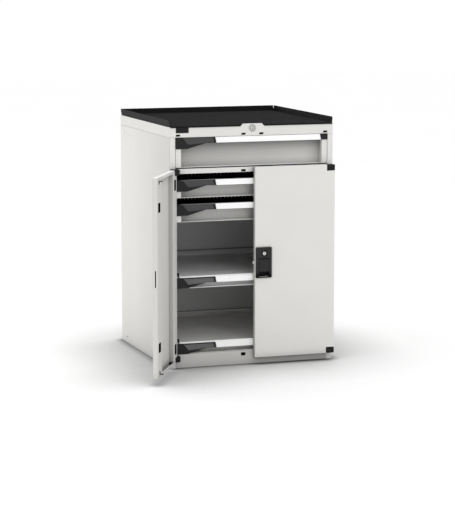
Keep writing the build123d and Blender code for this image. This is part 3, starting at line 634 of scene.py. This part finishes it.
# %% Dress the CAD pieces
finishes = {
    "grey_paint": grey_powder,
    "dark_paint": dark_powder,
    "black_paint": black_powder,
    "zinc": bright_zinc,
    "nickel": polished_nickel,
    "white_strip": white_label,
    "cap_plastic": charcoal_cap,
    "hinge_plastic": black_hinge,
    "case_plastic": black_case,
    "badge_plastic": gloss_badge,
    "ribbed_rubber": black_rubber,
}
own_finish = {
    "top_lock_ring": satin_nickel,
    "side_panel_left": left_panel_powder,
    "left_door_panel": leaf_shaded_powder,
    "side_panel_right": panel_powder,
    "base": base_powder,
    "top_drawer_front": drawer_powder,
    # The catches' dark zinc is painted shade.
    "left_door_catches": dark_zinc_painted_shade,
    "right_door_catches": dark_zinc_painted_shade,
    "upper_shelf_handle": front_powder,
    "lower_shelf_handle": front_powder,
    "inner_back_panel": back_powder,
    "upper_shelf_pan": inside_powder,
    "lower_shelf_pan": panel_powder,
    "upper_inner_drawer_front": front_powder,
    "lower_inner_drawer_front": front_powder,
}
node_slots = {entry["node"]: entry["material_slot"] for entry in frame["record"]["subparts"]}
for name, cad_object in nodes.items():
    cad_object.data.materials.clear()
    cad_object.data.materials.append(finishes[node_slots[name]])
for name, finish in own_finish.items():
    nodes[name].data.materials[0] = finish
print("dressed pieces:", len(nodes))

# %% [markdown]
# ## Small moulded parts: the helpers
# The parts that the CAD model leaves out are mostly flat outlines with a thickness, or shallow
# cups behind a slot. Scaling boxes into place would be quick, but their edges would stay sharp and
# every outline would have four corners. So two helpers build closed meshes from any outline. One
# pushes it into a solid with softened edges, and the other gives it a wall and a floor as a cup.

# %% Solids and cups from an outline
mm = 0.001
soft_edge = 0.3
same_line = 0.01


def add_solid(shape, ring, into, soft=soft_edge):
    """A closed solid from a ring of points in millimetres, pushed along a vector."""
    push = Vector(into)
    near = [shape.verts.new(Vector(point) * mm) for point in ring]
    far = [shape.verts.new((Vector(point) + push) * mm) for point in ring]
    lid = shape.faces.new(near)
    shape.faces.new(far[::-1])
    for i in range(len(ring)):
        shape.faces.new((near[i - 1], near[i], far[i], far[i - 1]))
    if soft:
        bmesh.ops.bevel(
            shape,
            geom=list(lid.edges),
            offset=soft * mm,
            segments=2,
            profile=0.5,
            affect="EDGES",
            clamp_overlap=True,
        )


def outward(way):
    """The direction of a corner from the middle, as -1, 0 or 1 along each axis."""
    return Vector([(c > same_line) - (c < -same_line) for c in way])


def add_cup(shape, ring, into, wall=1.0):
    """An open cup in millimetres: a mouth ring, pushed along a vector to its floor."""
    push = Vector(into)
    points = [Vector(point) for point in ring]
    middle = sum(points, Vector()) / len(points)
    grown = [point + wall * outward(point - middle) for point in points]
    deeper = push + push.normalized() * wall
    rings = [
        [point + push for point in points],
        points,
        grown,
        [point + deeper for point in grown],
    ]
    loops = [[shape.verts.new(point * mm) for point in loop] for loop in rings]
    shape.faces.new(loops[0])
    for inner, outer in zip(loops, loops[1:]):
        for i in range(len(inner)):
            shape.faces.new((inner[i - 1], inner[i], outer[i], outer[i - 1]))
    shape.faces.new(loops[-1][::-1])


print("edges are softened by", soft_edge, "mm")


# %% [markdown]
# ## Pieces, rectangles and arcs
# Each built shape has to become an object with a name, a finish and a CAD body to ride with.
# Done by hand for each piece, one of these would be left out sooner or later, so one helper does
# them all. Rectangles and arcs come again and again in the outlines. Typed out, one wrong sign
# among their points is hard to see, so two helpers work the points out.

# %% A piece, a rectangle and an arc
def place_piece(name, shape, finish, body):
    """Turns a built shape into an object that rides with a CAD body."""
    bmesh.ops.recalc_face_normals(shape, faces=list(shape.faces))
    mesh = bpy.data.meshes.new(name)
    shape.to_mesh(mesh)
    shape.free()
    mesh.materials.append(finish)
    made = bpy.data.objects.new(name, mesh)
    bpy.context.scene.collection.objects.link(made)
    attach(made, body)
    print(name, "has", len(mesh.vertices), "vertices")


def rectangle(x, y, z):
    """Four corners: one of x, y and z is a single value, the others are pairs."""
    if not isinstance(x, tuple):
        return [(x, y[0], z[0]), (x, y[1], z[0]), (x, y[1], z[1]), (x, y[0], z[1])]
    if not isinstance(y, tuple):
        return [(x[0], y, z[0]), (x[1], y, z[0]), (x[1], y, z[1]), (x[0], y, z[1])]
    return [(x[0], y[0], z), (x[1], y[0], z), (x[1], y[1], z), (x[0], y[1], z)]


def arc(middle, radius, start, turn, chords):
    """Pairs of coordinates along an arc, with its angles in radians."""
    angles = [start + turn * step / chords for step in range(chords + 1)]
    return [(middle[0] + radius * math.cos(a), middle[1] + radius * math.sin(a)) for a in angles]


print("corners of a rectangle:", len(rectangle((0, 1), 0, (0, 1))))

# %% [markdown]
# ## Plugs in the header
# The header has four slanted slots, and each shows as a black mark. A black plug fills each slot
# and paints the shade of the opening. The plug could be a dark patch on the header's material,
# but then it would have no depth in a close view. So each one is a slanted solid in the slot,
# with a thin flange on the paint.

# %% Header plugs
front = -362.5
header_marks = (-322, -39, 39, 322)
mark_middle = 966.0
mark_shift = 1.5
plug_soft = 0.1
# Half width, half height, start behind the front and depth of the body and the flange.
plug_body = (7.9, 3.2, 0.0, 3.0)
plug_flange = (8.7, 3.9, -0.4, 0.4)

plugs = bmesh.new()
for x in header_marks:
    for half_width, half_height, start, depth in (plug_body, plug_flange):
        near = front + start
        low_z = mark_middle - half_height
        high_z = mark_middle + half_height
        outline = [
            (x - half_width - mark_shift, near, low_z),
            (x + half_width - mark_shift, near, low_z),
            (x + half_width + mark_shift, near, high_z),
            (x - half_width + mark_shift, near, high_z),
        ]
        add_solid(plugs, outline, (0, depth, 0), plug_soft)
place_piece("header_plugs", plugs, black_plastic_and_painted_shade, "cabinet")

# %% [markdown]
# ## Cups behind the catch slots
# The doors' catches enter slots in the rail and in the plinth. Black cups behind the slots make
# them look black and not grey: they paint the shade inside the slots. They have to stay open for
# the tongues, so they are cups and not plugs. A thin flange lies on the paint round each mouth,
# made of four flat bars.

# %% Catch cups
sheet = 1.5
catch_x = 39.0
catch_half_width = 8.25
rail_slot = (812.1, 818.1)
base_slot = (39.0, 49.0)
cup_depth = 13.0
flange_width = 1.6
flange_proud = 0.3


def add_flange(shape, sides, heights, y, width, into):
    """A flat frame of four bars round an opening, from the depth y inwards."""
    wide = (sides[0] - width, sides[1] + width)
    bars = (
        (wide, (heights[0] - width, heights[0])),
        (wide, (heights[1], heights[1] + width)),
        ((wide[0], sides[0]), heights),
        ((sides[1], wide[1]), heights),
    )
    for bar_x, bar_z in bars:
        add_solid(shape, rectangle(bar_x, y, bar_z), (0, into, 0), plug_soft)


cups = bmesh.new()
for x in (-catch_x, catch_x):
    for slot_z in (rail_slot, base_slot):
        sides = (x - catch_half_width, x + catch_half_width)
        add_cup(cups, rectangle(sides, front + sheet, slot_z), (0, cup_depth, 0))
        add_flange(cups, sides, slot_z, front - flange_proud, flange_width, flange_proud)
place_piece("catch_cups", cups, black_plastic_and_painted_shade, "cabinet")

# %% [markdown]
# ## Where the left door stands
# The left door stands open at rest. Its small parts could be drawn at their slanted places, but
# such numbers can't be checked against a drawing. Both doors are made alike on the real cabinet,
# so the parts are drawn for a shut right-hand door. A matrix mirrors them and turns them about
# the hinge, by the angle at which the left door stands open.

# %% Left door
hinge_x = -352.0
hinge_y = -384.1
door_open = 120
to_hinge = Matrix.Translation((hinge_x * mm, hinge_y * mm, 0))
mirrored = Matrix.Scale(-1, 4, (1, 0, 0))
turned = Matrix.Rotation(math.radians(-door_open), 4, "Z")
leaf_turn = to_hinge @ turned @ to_hinge.inverted() @ mirrored
print("the left door stands open by", door_open, "degrees")

# %% [markdown]
# ## Liners behind the doors' cut-outs
# Each door has square cut-outs in its hollow stiles, and the left one also has the long strike
# slot. Black liners sit behind them and paint the shade inside the hollow stiles. A black patch on
# the sheet would look flat from the side, so each liner is a shallow cup, and those near the
# hinges also have a thin collar on the sheet.

# %% Door liners
door_in = -368.5
door_middle = 430.0
cutout_x = (21.5, 60.5)
cutout_half = 19.5
cutout_away = 280.0
stile_slot_x = (313.5, 339.5)
stile_slot_away = 339.0
liner_depth = 12.0
liner_wall = 0.8
liner_gap = 0.1
collar_width = 2.5
collar_proud = 0.35
free_edge = 3.5
strike_y = (-378.75, -374.25)
strike_half = 33.5


def door_liners(name, body, strike):
    """Liners behind the cut-outs of one door."""
    liners = bmesh.new()
    inset = liner_wall + liner_gap
    for side in (-1, 1):
        for sides, away in ((cutout_x, cutout_away), (stile_slot_x, stile_slot_away)):
            middle = door_middle + side * away
            heights = (middle - cutout_half, middle + cutout_half)
            near_sides = (sides[0] + inset, sides[1] - inset)
            near_heights = (heights[0] + inset, heights[1] - inset)
            mouth = rectangle(near_sides, door_in - liner_gap, near_heights)
            add_cup(liners, mouth, (0, -liner_depth, 0), liner_wall)
            if sides == stile_slot_x:
                add_flange(liners, sides, heights, door_in, collar_width, collar_proud)
    if strike:
        heights = (door_middle - strike_half, door_middle + strike_half)
        mouth = rectangle(free_edge + sheet, strike_y, heights)
        add_cup(liners, mouth, (liner_depth, 0, 0))
        bmesh.ops.transform(liners, matrix=leaf_turn, verts=list(liners.verts))
    place_piece(name, liners, black_plastic_and_painted_shade, body)


door_liners("right_door_liners", "right_door", False)
door_liners("left_door_liners", "left_door", True)

# %% [markdown]
# ## The buffer at the foot of the open door
# A small black buffer is pressed into the door's fold next to the lower hinge, so that the door
# doesn't ring when it swings fully open. It could have a domed tip, but a block with softened
# edges shows it well at its size of about one centimetre. It is built for a shut door too, and
# turned by the same matrix.

# %% Door buffer
buffer_x = (291.5, 295.3)
buffer_y = (-386.0, -370.0)
buffer_z = (32.5, 42.5)
buffer_soft = 0.8
buffer = bmesh.new()
near_ring = rectangle(buffer_x, buffer_y, buffer_z[0])
add_solid(buffer, near_ring, (0, 0, buffer_z[1] - buffer_z[0]), buffer_soft)
bmesh.ops.transform(buffer, matrix=leaf_turn, verts=list(buffer.verts))
place_piece("left_door_buffer", buffer, black_plastic_and_painted_shade, "left_door")

# %% [markdown]
# ## Satin facets on the caps
# The slanted field on each left cap is left smooth in the mould, while the rest has the eroded
# grain. It reflects the white room and looks lighter than the cap around it, and its colour is
# written lighter too, as a painted reflection. A second material on the cap would follow the faces
# of the CAD mesh. A thin inlay has an outline of its own and keeps a crisp edge. Its corners are x
# and the drop below the top of the drawer or shelf.

# %% Facets
facet_bottom = ((-279.6, -30.2), (-203.0, -25.2), (-190.0, -24.4))
drawer_facet_outline = ((-302.3, -2.2), *facet_bottom, (-166.8, -22.9), (-171.4, -2.2))
shelf_facet_outline = ((-298.8, -6.5), *facet_bottom, (-166.8, -22.9), (-170.4, -6.5))
cap_proud = 2.0
facet_low = 31.0
facet_run = 32.0
facet_slope = 1.8
inlay_lift = 0.12
inlay_depth = 0.3
# Height of each module's top, its facet's outline and its facet's finish.
modules = {
    "top_drawer": (958.0, drawer_facet_outline, drawer_facet_painted_reflection),
    "upper_inner_drawer": (783.0, drawer_facet_outline, drawer_facet_painted_reflection),
    "lower_inner_drawer": (683.0, drawer_facet_outline, drawer_facet_painted_reflection),
    "upper_shelf": (379.0, shelf_facet_outline, shelf_facet_painted_reflection),
    "lower_shelf": (104.0, shelf_facet_outline, shelf_facet_painted_reflection),
}
for body, (top, outline, facet_finish) in modules.items():
    facet = bmesh.new()
    ring = []
    for x, drop in outline:
        depth = front - cap_proud + facet_slope * (drop + facet_low) / facet_run
        ring.append((x, depth - inlay_lift, top + drop))
    add_solid(facet, ring, (0, inlay_depth, 0), soft=0)
    place_piece(body + "_facet", facet, facet_finish, body)

# %% [markdown]
# ## Stops on the shelves
# Each pull-out shelf has a small black post behind the corner of its left cap. It stops a bin
# from sliding off sideways. A plain box would do at this size, but a real one is a moulded peg
# with a rounded head, so its outline ends in a half circle of eight chords.

# %% Shelf stops
shelf_tops = {body: modules[body][0] for body in ("upper_shelf", "lower_shelf")}
stop_x = -320.6
stop_half = 3.0
stop_near = -358.0
stop_depth = 9.0
stop_rise = 19.0
stop_root = -4.0
for body, top in shelf_tops.items():
    stop = bmesh.new()
    head = arc((stop_x, top + stop_rise - stop_half), stop_half, 0, math.pi, chords=8)
    foot = [(stop_x - stop_half, top + stop_root), (stop_x + stop_half, top + stop_root)]
    ring = [(x, stop_near, z) for x, z in foot + head]
    add_solid(stop, ring, (0, stop_depth, 0))
    place_piece(body + "_stop", stop, black_plastic_and_painted_shade, body)

# %% [markdown]
# ## The hem of each shelf
# The front edge of each shelf's sheet is folded up and back on itself behind the handle. This hem
# stands a few millimetres above the caps and catches the light from above, so it draws a pale
# line over each dark cap. A pale line in the cap's material would do for this view only. The
# fold's outer side is round, which five short chords show.

# %% Shelf hems
hem_half_length = 326.0
hem_near = -357.6
hem_thickness = 3.0
hem_rise = 3.6
hem_root = -6.0
for body, top in shelf_tops.items():
    hem = bmesh.new()
    radius = hem_thickness / 2
    fold = arc((hem_near + radius, top + hem_rise - radius), radius, math.pi, -math.pi, chords=5)
    profile = [(hem_near, top + hem_root), *fold, (hem_near + hem_thickness, top + hem_root)]
    ring = [(-hem_half_length, y, z) for y, z in profile]
    add_solid(hem, ring, (2 * hem_half_length, 0, 0), soft=0)
    place_piece(body + "_hem", hem, inside_powder, body)

# %% [markdown]
# ## The upstand at the rear of each shelf
# The rear edge of a shelf is folded up and leans back, so that nothing rolls off behind. Its
# slanted face catches more light than the deck in front of it. A grey strip on its top paints the
# thin line of shade between the upstand and the back panel. Both could be bent from a flat sheet
# with a modifier, but each is only one profile, so it is pushed along X.

# %% Shelf upstands
upstand_half_length = 324.0
# Profiles of y and the height over the shelf's top.
upstand_profile = ((307.0, -1.0), (307.0, 3.0), (314.5, 11.5), (316.8, 11.5), (316.8, -1.0))
shadow_line_profile = ((314.6, 11.4), (314.6, 16.0), (316.8, 16.0), (316.8, 11.4))
# The upstand is folded sheet. The grey strip on it is painted shadow, a line of shade.
rear_strips = {
    "_upstand": (upstand_profile, inside_powder, "grey_paint"),
    "_edging": (shadow_line_profile, shadow_line_strip, "cap_plastic"),
}
for body, top in shelf_tops.items():
    for suffix, (profile, finish, slot_name) in rear_strips.items():
        shape = bmesh.new()
        ring = [(-upstand_half_length, y, top + z) for y, z in profile]
        add_solid(shape, ring, (2 * upstand_half_length, 0, 0), soft=0)
        place_piece(body + suffix, shape, finish, body)

# %% [markdown]
# ## The nose of the bolt
# The flat bolt of the door lock ends in a rounded white nylon nose, which shows as a half disc
# at the edge of the right door. A ball would be simpler but too thick for the slot. It rides with
# the bolt, so it moves into the left door's strike slot when the key is turned. Twelve short
# chords are enough for its round edge.

# %% Bolt nose
bolt_middle_y = -376.5
nose_radius = 6.6
nose_half = 1.5
nose = bmesh.new()
half_disc = arc((free_edge, door_middle), nose_radius, math.pi / 2, math.pi, chords=12)
ring = [(x, bolt_middle_y - nose_half, z) for x, z in half_disc]
add_solid(nose, ring, (0, 2 * nose_half, 0))
place_piece("bolt_nose", nose, white_nylon, "door_bolt")

# %% [markdown]
# ## Key slots
# A key slot is a narrow pocket in the face of a lock cylinder, and it looks black. The real one
# is cut in, but the CAD mesh stays as it is, so a thin black inlay of the same outline paints the
# pocket's shade on the face. The top lock's slot has a round middle. How far each cylinder stands
# out is read from the frame.

# %% Key slots
top_key = (0.0, 989.0)
door_key = (43.5, 468.0)
slot_half_width = 0.8
slot_half_length = 4.5
slot_round = 2.2
slot_proud = 0.06
round_proud = 0.08
slot_depth = 0.5


def key_slot(name, middle, body, node, with_round):
    """The inlay of a key slot in the face of a cylinder."""
    x, z = middle
    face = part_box(node)[0][1] / mm
    slot_shape = bmesh.new()
    sides = (x - slot_half_width, x + slot_half_width)
    heights = (z - slot_half_length, z + slot_half_length)
    outline = rectangle(sides, face - slot_proud, heights)
    add_solid(slot_shape, outline, (0, slot_depth, 0), soft=0)
    if with_round:
        circle = arc(middle, slot_round, 0, 2 * math.pi, chords=16)[:-1]
        ring = [(ring_x, face - round_proud, ring_z) for ring_x, ring_z in circle]
        add_solid(slot_shape, ring, (0, slot_depth, 0), soft=0)
    place_piece(name, slot_shape, black_plastic_and_painted_shade, body)


key_slot("top_key_slot", top_key, "top_lock", "top_lock_core", True)
key_slot("door_key_slot", door_key, "door_lock", "door_lock_core", False)

# %% [markdown]
# ## The dark washer round the door's key
# At the bottom of the door lock's seat lies a flat black washer, which makes the bright cylinder
# stand out. A disc behind the cylinder would show the same, but it would cut through it. So the
# washer is a real ring, made of one four-sided solid for each short piece, whose shared corners
# are then merged.

# %% Door key washer
washer_floor = -392.5
washer_thickness = 0.4
washer_in = 7.7
washer_out = 11.9
washer_steps = 32
merge_distance = 0.00001
washer = bmesh.new()
inner_ring = arc(door_key, washer_in, 0, 2 * math.pi, washer_steps)
outer_ring = arc(door_key, washer_out, 0, 2 * math.pi, washer_steps)
for i in range(washer_steps):
    outline = (inner_ring[i], inner_ring[i + 1], outer_ring[i + 1], outer_ring[i])
    ring = [(x, washer_floor - washer_thickness, z) for x, z in outline]
    add_solid(washer, ring, (0, washer_thickness, 0), soft=0)
bmesh.ops.remove_doubles(washer, verts=list(washer.verts), dist=merge_distance)
place_piece("door_key_washer", washer, black_plastic_and_painted_shade, "right_door")

# %% [markdown]
# ## Ribs of the mat
# The mat has straight pressed ribs, four millimetres apart. A bump map would do for the picture
# here, since each rib covers about one pixel, but a close view would show that they are flat.
# So each rib is a low ridge with slanted flanks. They begin behind the lock's notch.

# %% Mat ribs
rib_pitch = 4.0
rib_foot = 1.4
rib_crest = 0.8
rib_height = 0.6
rib_root = 0.1
rib_half_length = 350.0
rib_start = -352.0
rib_end = 354.0
mat_top = 1004.0
rib_low = mat_top - rib_root
rib_high = mat_top + rib_height
ribs = bmesh.new()
rib_y = rib_start
while rib_y < rib_end:
    ring = [
        (-rib_half_length, rib_y - rib_foot, rib_low),
        (-rib_half_length, rib_y + rib_foot, rib_low),
        (-rib_half_length, rib_y + rib_crest, rib_high),
        (-rib_half_length, rib_y - rib_crest, rib_high),
    ]
    add_solid(ribs, ring, (2 * rib_half_length, 0, 0), soft=0)
    rib_y += rib_pitch
place_piece("mat_ribs", ribs, black_rubber, "cabinet")

# %% [markdown]
# ## Welds in the corners of the tray
# The tray's lips are folded up and lean outwards, so at the two back corners an open wedge is
# left between them. The real tray is welded there for about half of its height, and the top of
# the wedge stays open. The lips could be joined in the CAD mesh, but that stays as it is. So each
# weld is a thin leaning post with four sides, which follows the lips.

# %% Tray welds
tray_floor = 1000.0
tray_half = 354.5
tray_back = 358.5
weld_low = 1002.0
weld_rise = 13.0
weld_in = 1.2
weld_out = 0.1
lean = 4.0 / 27.0
out = lean * (weld_low + weld_rise - tray_floor)
welds = bmesh.new()
for hand in (-1, 1):
    sides = (hand * (tray_half - weld_in), hand * (tray_half + weld_out))
    depths = (tray_back - weld_in, tray_back + weld_out)
    ring = rectangle(sides, depths, weld_low)
    add_solid(welds, ring, (hand * out, out, weld_rise), soft=0)
place_piece("tray_welds", welds, black_powder, "cabinet")

# %% [markdown]
# ## Floor
# A large pale plane catches the soft shadow of the cabinet. The pale cabinet throws so much light
# back that its own contact shadow is weak. The photograph has a stronger one, as catalogue
# pictures often do. Harder lamps would darken it, but the doors with it. So a shadow is painted
# into the floor's colour near the cabinet, with the same node as the painted corner shade: a wide
# soft one, and a narrow one that paints the dark line under the base. A slight glow keeps the far
# floor as white as the background.

# %% Floor
floor_half = 20.0
floor_patch = 900
shade_reach = 0.45
shade_power = 0.9
contact_shade_reach = 0.045
contact_shade_power = 1.4
floor_mirror = 0.1
floor_glow = 0.02
floor_mesh = bpy.data.meshes.new("floor")
corners = rectangle((-floor_half, floor_half), (-floor_half, floor_half), 0)
floor_mesh.from_pydata(corners, [], [(0, 1, 2, 3)])
floor = bpy.data.objects.new("floor", floor_mesh)
bpy.context.scene.collection.objects.link(floor)
floor_finish, floor_shader = new_finish("pale_studio_floor", 0.9)
floor_place = add_node(floor_finish, "TexCoord").outputs["Object"]
floor_pale = ("FCFCFC", "FDFDFD")
floor_colour = drift_colour(floor_finish, floor_shader, floor_place, floor_pale, floor_patch)
# Painted shadow: the floor is darkened near the cabinet, widely and in a thin line at the base.
shaded = paint_corner_shade(floor_finish, floor_shader, floor_colour, shade_power, shade_reach)
paint_corner_shade(floor_finish, floor_shader, shaded, contact_shade_power, contact_shade_reach)
floor_shader.inputs["Specular IOR Level"].default_value = floor_mirror
floor_shader.inputs["Emission Color"].default_value = (1, 1, 1, 1)
floor_shader.inputs["Emission Strength"].default_value = floor_glow
floor_mesh.materials.append(floor_finish)
print("the floor is", 2 * floor_half, "metres wide")

# %% [markdown]
# ## The white room
# The picture has the even light of a white studio. An environment photograph could light it,
# but plain nodes do the same with nothing to load: a dome that is brighter overhead than at the
# horizon, and a little brighter on the left. The dome is plain white where the camera, a
# reflection or glass sees it, and weaker as a light, so that pale paint keeps its colour.

# %% World
ambient_strength = 0.885
side_tilt = 0.1
horizon_share = 0.6
zenith_share = 1.4
world = bpy.data.worlds.new("studio")
bpy.context.scene.world = world
world.use_nodes = True
background = world.node_tree.nodes["Background"]
background.inputs["Color"].default_value = (1, 1, 1, 1)

rays = add_node(world, "LightPath").outputs
camera_or_gloss = add_node(
    world, "Math", {"operation": "MAXIMUM"}, {0: rays["Is Camera Ray"], 1: rays["Is Glossy Ray"]}
)
or_glass = add_node(
    world,
    "Math",
    {"operation": "MAXIMUM"},
    {0: camera_or_gloss.outputs["Value"], 1: rays["Is Transmission Ray"]},
)
sky_direction = add_node(world, "TexCoord").outputs["Generated"]
sky_axes = add_node(world, "SeparateXYZ", {}, {"Vector": sky_direction}).outputs
tilt = {"To Min": ambient_strength + side_tilt, "To Max": ambient_strength - side_tilt}
side_light = add_node(world, "MapRange", {"From Min": -1.0} | tilt, {"Value": sky_axes["X"]})
rise = {"To Min": horizon_share, "To Max": zenith_share}
height_share = add_node(world, "MapRange", rise, {"Value": sky_axes["Z"]})
sky = add_node(
    world,
    "Math",
    {"operation": "MULTIPLY"},
    {0: side_light.outputs["Result"], 1: height_share.outputs["Result"]},
)
strength = add_node(
    world,
    "MapRange",
    {"To Max": 1.0},
    {"To Min": sky.outputs["Value"], "Value": or_glass.outputs["Value"]},
)
feed(world, background, {"Strength": strength.outputs["Result"]})
print("the dome's strength at mid height:", ambient_strength)

# %% [markdown]
# ## Soft boxes
# Three weak soft boxes give the light a direction. A key light hangs high in front and darkens
# the recesses under the handles, a wide fill stands low in front and opens the cupboard, and a
# small box at the left rear lights the side. One strong lamp would be simpler, but it would
# throw a hard shadow that the photograph doesn't have.

# %% Soft boxes
# Place, aim, size in metres and watts.
soft_boxes = {
    "key_softbox": ((0.3, -6.0, 3.4), (0, 0, 0.5), 2.0, 30),
    "fill_softbox": ((0.0, -6.0, 1.4), (0, 0, 0.5), 3.0, 20),
    "side_softbox": ((-1.6, 1.3, 0.7), (0, 0.3, 0.5), 0.8, 4),
}
for name, (place, aim, size, watts) in soft_boxes.items():
    data = bpy.data.lights.new(name, "AREA")
    data.size = size
    data.energy = watts
    lamp = bpy.data.objects.new(name, data)
    lamp.location = place
    lamp.rotation_euler = (Vector(aim) - Vector(place)).to_track_quat("-Z", "Y").to_euler()
    bpy.context.scene.collection.objects.link(lamp)
    print(name, "has", watts, "watts")

# %% [markdown]
# ## The end

# %% Finish
print("done")
